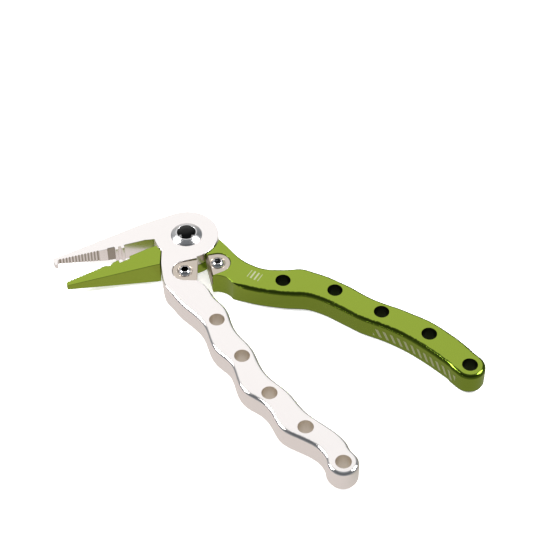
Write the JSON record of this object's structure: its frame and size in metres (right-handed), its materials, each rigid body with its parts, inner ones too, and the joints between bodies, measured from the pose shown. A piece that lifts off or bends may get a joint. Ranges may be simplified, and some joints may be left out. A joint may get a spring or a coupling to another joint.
{
  "type": "fishing pliers",
  "caption": "Needle-nose fishing pliers with a silver and a lime anodised lever, wavy perforated grips, half-lapped pivot with a black cap, toothed jaws and screwed-in line cutters.",
  "frame": {"origin": "on the pivot's axis, in the plane of the underside, at the middle of the flush nut's face", "axes": "+Z along the pivot, from the underside towards the black cap; -X towards the jaws' tips; -Y towards the grips' ends, with the jaws fully open"},
  "size_m": [0.1673, 0.1298, 0.0126],
  "materials": {
    "silver_anodised_aluminium": "clear anodised over a fine polish",
    "lime_anodised_aluminium": "lime green anodised, satin faces",
    "ground_tool_steel": "ground",
    "polished_stainless_steel": "polished",
    "black_gloss_plastic": "gloss black",
    "bronze": "machined",
    "white_acetal": "smooth",
    "spring_steel": "drawn wire"
  },
  "bodies": {
    "green_side": {"green_lever": "lime_anodised_aluminium", "green_cutter": "ground_tool_steel", "green_cutter_screw": "polished_stainless_steel", "pivot_cap": "black_gloss_plastic", "pivot_ring": "polished_stainless_steel", "pivot_bolt": "polished_stainless_steel", "pivot_nut": "polished_stainless_steel", "lap_washer": "white_acetal", "return_spring": "spring_steel"},
    "silver_side": {"silver_lever": "silver_anodised_aluminium", "silver_cutter": "ground_tool_steel", "silver_cutter_screw": "polished_stainless_steel", "pivot_bush": "bronze", "front_washer": "white_acetal"}
  },
  "joints": [
    {"name": "pivot_hinge", "type": "hinge", "parent": "green_side", "child": "silver_side", "pos_m": [0, 0, 0], "axis": [0, 0, 1], "range_deg": [0, 13.5], "stiffness_Nm_per_rad": 0.05, "springref_deg": -68.75, "deforming": ["return_spring"]}
  ]
}
